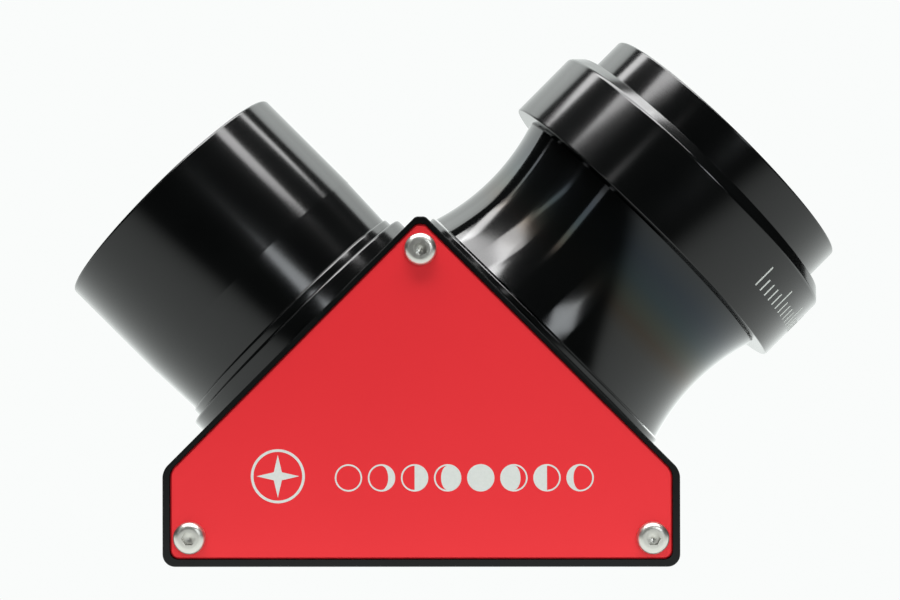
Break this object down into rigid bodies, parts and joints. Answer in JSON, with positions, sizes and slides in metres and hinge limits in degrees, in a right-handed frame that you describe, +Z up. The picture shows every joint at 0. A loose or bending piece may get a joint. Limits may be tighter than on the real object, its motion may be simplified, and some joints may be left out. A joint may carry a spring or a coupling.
{
  "type": "star diagonal",
  "caption": "Right-angle telescope star diagonal: a barrel to the focuser, a mirror housing with screwed side plates, a waisted neck, a clamp ring and a step-down eyepiece adapter.",
  "frame": {"origin": "middle of the housing's flat underside, in the plane of the two optical axes", "axes": "+X from the nose side to the eyepiece side, +Y from the front side plate to the rear one, where the thumbscrews are, +Z up; the optical axes lie in the XZ plane at 45 degrees and cross 18.6 mm above the origin"},
  "size_m": [0.1418, 0.0682, 0.0949],
  "materials": {
    "black_anodised": "semi-gloss black anodised, turned and milled",
    "red_anodised": "satin red anodised plate with a bright chamfer",
    "stainless_steel": "bright stainless",
    "mirror_coating": "dielectric first-surface mirror on glass",
    "pad_silicone": "grey silicone",
    "brass": "turned brass",
    "knob_black": "black anodised, knurled"
  },
  "bodies": {
    "housing": {"housing_body": "black_anodised", "side_plate_front": "red_anodised", "side_plate_rear": "red_anodised", "plate_screw_front_top": "stainless_steel", "plate_screw_front_left": "stainless_steel", "plate_screw_front_right": "stainless_steel", "plate_screw_rear_top": "stainless_steel", "plate_screw_rear_left": "stainless_steel", "plate_screw_rear_right": "stainless_steel", "cell_screw_front_left": "stainless_steel", "cell_screw_front_right": "stainless_steel", "cell_screw_rear_left": "stainless_steel", "cell_screw_rear_right": "stainless_steel", "mirror_cell": "black_anodised", "mirror": "mirror_coating", "mirror_pad_left": "pad_silicone", "mirror_pad_front": "pad_silicone", "mirror_pad_rear": "pad_silicone", "mirror_clip_front": "stainless_steel", "mirror_clip_rear": "stainless_steel", "mirror_clip_screw_front": "stainless_steel", "mirror_clip_screw_rear": "stainless_steel", "nose_seat_ring": "black_anodised", "nose_barrel": "black_anodised", "neck_seat_ring": "black_anodised", "eyepiece_neck": "black_anodised", "clamp_ring": "black_anodised"},
    "clamp_band": {"clamp_compression_ring": "brass"},
    "adapter": {"adapter_body": "black_anodised"},
    "adapter_band": {"adapter_compression_ring": "brass"},
    "clamp_screw_left_stud": {"clamp_screw_left_stud": "stainless_steel"},
    "clamp_screw_left_knob": {"clamp_screw_left_knob": "knob_black"},
    "clamp_screw_right_stud": {"clamp_screw_right_stud": "stainless_steel"},
    "clamp_screw_right_knob": {"clamp_screw_right_knob": "knob_black"},
    "adapter_screw_stud": {"adapter_screw_stud": "stainless_steel"},
    "adapter_screw_knob": {"adapter_screw_knob": "knob_black"}
  },
  "joints": [
    {"name": "clamp_band_turn", "type": "hinge", "parent": "housing", "child": "clamp_band", "pos_m": [0.04621, 0, 0.06481], "axis": [0.7071, 0, 0.7071], "continuous": true},
    {"name": "adapter_lift", "type": "slide", "parent": "clamp_band", "child": "adapter", "axis": [0.7071, 0, 0.7071], "range_m": [0, 0.03]},
    {"name": "adapter_band_turn", "type": "hinge", "parent": "adapter", "child": "adapter_band", "pos_m": [0.05427, 0, 0.07287], "axis": [0.7071, 0, 0.7071], "continuous": true},
    {"name": "clamp_screw_left_travel", "type": "slide", "parent": "housing", "child": "clamp_screw_left_stud", "axis": [-0.4545, 0.766, 0.4545], "range_m": [0, 0.00175]},
    {"name": "clamp_screw_left_turn", "type": "hinge", "parent": "clamp_screw_left_stud", "child": "clamp_screw_left_knob", "pos_m": [0.02985, 0.02758, 0.08117], "axis": [-0.4545, 0.766, 0.4545], "range_deg": [0, 901]},
    {"name": "clamp_screw_right_travel", "type": "slide", "parent": "housing", "child": "clamp_screw_right_stud", "axis": [0.4545, 0.766, -0.4545], "range_m": [0, 0.00175]},
    {"name": "clamp_screw_right_turn", "type": "hinge", "parent": "clamp_screw_right_stud", "child": "clamp_screw_right_knob", "pos_m": [0.06257, 0.02758, 0.04845], "axis": [0.4545, 0.766, -0.4545], "range_deg": [0, 901]},
    {"name": "adapter_screw_travel", "type": "slide", "parent": "adapter", "child": "adapter_screw_stud", "axis": [0, 1, 0], "range_m": [0, 0.00125]},
    {"name": "adapter_screw_turn", "type": "hinge", "parent": "adapter_screw_stud", "child": "adapter_screw_knob", "pos_m": [0.05427, 0.031, 0.07287], "axis": [0, 1, 0], "range_deg": [0, 901]}
  ],
  "couplings": [
    {"joint": "clamp_screw_left_turn", "follows": "clamp_screw_left_travel", "rad_per_m": 8976},
    {"joint": "clamp_screw_right_turn", "follows": "clamp_screw_right_travel", "rad_per_m": 8976},
    {"joint": "adapter_screw_turn", "follows": "adapter_screw_travel", "rad_per_m": 12566}
  ]
}
